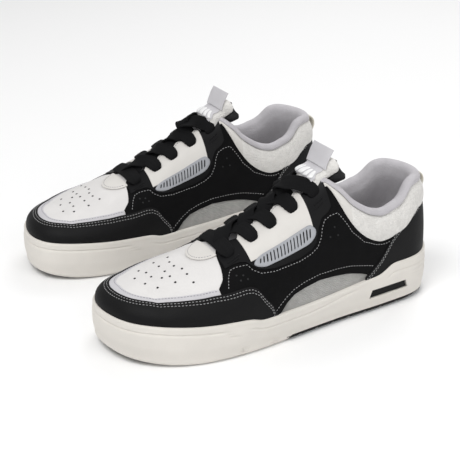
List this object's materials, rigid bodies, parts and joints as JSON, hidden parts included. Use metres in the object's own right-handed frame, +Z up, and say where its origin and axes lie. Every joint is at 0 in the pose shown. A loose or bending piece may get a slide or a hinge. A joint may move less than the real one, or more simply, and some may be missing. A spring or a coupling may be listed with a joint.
{
  "type": "pair of court sneakers",
  "caption": "Pair of low lace-up court sneakers with thick cupsoles, padded collars, tongues with pull tabs and wide flat laces threaded through open eyestays.",
  "frame": {"origin": "middle of the pair's box, on the floor", "axes": "+Z up, toes towards -Y, the left shoe on +X and the right shoe on -X"},
  "size_m": [0.2912, 0.3001, 0.1404],
  "materials": {
    "black_rubber": "satin moulded rubber",
    "cream_cupsole": "matt moulded rubber, fine texture",
    "shank_steel": "plain steel strip",
    "fibre_board": "pressed fibre board",
    "lilac_lining": "padded knitted lining",
    "white_leather": "fine grained leather",
    "lilac_trim": "smooth woven tape",
    "black_leather": "smooth leather",
    "black_nubuck": "nubuck with smooth moulded frame",
    "grey_plastic": "satin moulded plastic",
    "grey_knit": "ribbed textile",
    "white_terry": "short looped terry",
    "cream_webbing": "woven tape",
    "black_lining": "smooth lining cloth",
    "black_lace": "ribbed flat lace"
  },
  "bodies": {
    "left_shoe": {"left_outsole": "black_rubber", "left_midsole": "cream_cupsole", "left_window_insert_lateral": "black_rubber", "left_window_insert_medial": "black_rubber", "left_shank": "shank_steel", "left_insole_board": "fibre_board", "left_sockliner": "lilac_lining", "left_vamp_lining": "lilac_lining", "left_collar_lining": "lilac_lining", "left_toe_puff": "fibre_board", "left_heel_counter": "fibre_board", "left_vamp": "white_leather", "left_toe_trim": "lilac_trim", "left_mudguard": "black_leather", "left_quarter_lateral": "black_nubuck", "left_quarter_medial": "black_nubuck", "left_eyestay_lateral": "white_leather", "left_eyestay_medial": "white_leather", "left_badge_lateral": "grey_plastic", "left_badge_medial": "grey_plastic", "left_mesh_lateral": "grey_knit", "left_mesh_medial": "grey_knit", "left_heel_patch": "black_leather", "left_collar": "white_terry", "left_heel_loop": "cream_webbing", "left_lace": "black_lace"},
    "left_tongue_flap": {"left_tongue": "white_terry", "left_tongue_lining": "black_lining", "left_tongue_label": "white_leather"},
    "left_pull_tab": {"left_tongue_tab": "lilac_trim"},
    "right_shoe": {"right_outsole": "black_rubber", "right_midsole": "cream_cupsole", "right_window_insert_lateral": "black_rubber", "right_window_insert_medial": "black_rubber", "right_shank": "shank_steel", "right_insole_board": "fibre_board", "right_sockliner": "lilac_lining", "right_vamp_lining": "lilac_lining", "right_collar_lining": "lilac_lining", "right_toe_puff": "fibre_board", "right_heel_counter": "fibre_board", "right_vamp": "white_leather", "right_toe_trim": "lilac_trim", "right_mudguard": "black_leather", "right_quarter_lateral": "black_nubuck", "right_quarter_medial": "black_nubuck", "right_eyestay_lateral": "white_leather", "right_eyestay_medial": "white_leather", "right_badge_lateral": "grey_plastic", "right_badge_medial": "grey_plastic", "right_mesh_lateral": "grey_knit", "right_mesh_medial": "grey_knit", "right_heel_patch": "black_leather", "right_collar": "white_terry", "right_heel_loop": "cream_webbing", "right_lace": "black_lace"},
    "right_tongue_flap": {"right_tongue": "white_terry", "right_tongue_lining": "black_lining", "right_tongue_label": "white_leather"},
    "right_pull_tab": {"right_tongue_tab": "lilac_trim"}
  },
  "joints": [
    {"name": "right_shoe_lift", "type": "slide", "parent": "left_shoe", "child": "right_shoe", "axis": [0, 0, 1], "range_m": [0, 0.2]},
    {"name": "left_tongue_tilt", "type": "hinge", "parent": "left_shoe", "child": "left_tongue_flap", "pos_m": [0.087, -0.06, 0.066], "axis": [1, 0, 0], "range_deg": [-8, 0], "stiffness_Nm_per_rad": 0.4},
    {"name": "left_tab_flex", "type": "hinge", "parent": "left_tongue_flap", "child": "left_pull_tab", "pos_m": [0.0882, 0.0396, 0.1254], "axis": [1, 0, 0], "range_deg": [0, 35], "stiffness_Nm_per_rad": 0.01},
    {"name": "right_tongue_tilt", "type": "hinge", "parent": "right_shoe", "child": "right_tongue_flap", "pos_m": [-0.087, -0.06, 0.066], "axis": [1, 0, 0], "range_deg": [-8, 0], "stiffness_Nm_per_rad": 0.4},
    {"name": "right_tab_flex", "type": "hinge", "parent": "right_tongue_flap", "child": "right_pull_tab", "pos_m": [-0.0882, 0.0396, 0.1254], "axis": [1, 0, 0], "range_deg": [0, 35], "stiffness_Nm_per_rad": 0.01}
  ]
}
